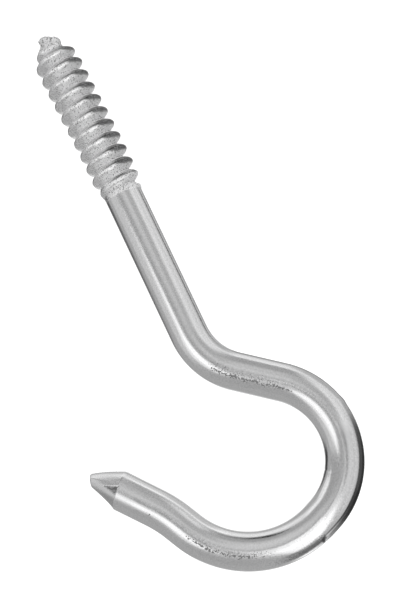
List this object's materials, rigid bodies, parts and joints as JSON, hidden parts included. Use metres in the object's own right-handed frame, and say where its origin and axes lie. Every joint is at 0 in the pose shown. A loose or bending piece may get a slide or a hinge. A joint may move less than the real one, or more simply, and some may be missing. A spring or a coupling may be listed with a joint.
{
  "type": "screw hook",
  "caption": "Zinc-plated steel wire screw hook: a rolled wood thread with a blunt tip, a short plain shank, a round open hook and a turned-out pinched point.",
  "frame": {"origin": "on the shank's axis, where the thread begins", "axes": "+Y along the shank's axis toward the thread's tip, +Z square to the plane of the hook and up as the hook lies flat, +X toward the side that the first bend swings to"},
  "size_m": [0.0432, 0.0963, 0.0078],
  "materials": {
    "zinc_plated_steel": "bright zinc plate, half dull, with fine grain on the thread and die marks along the bends"
  },
  "bodies": {
    "root": {"screw_hook": "zinc_plated_steel"}
  },
  "joints": []
}
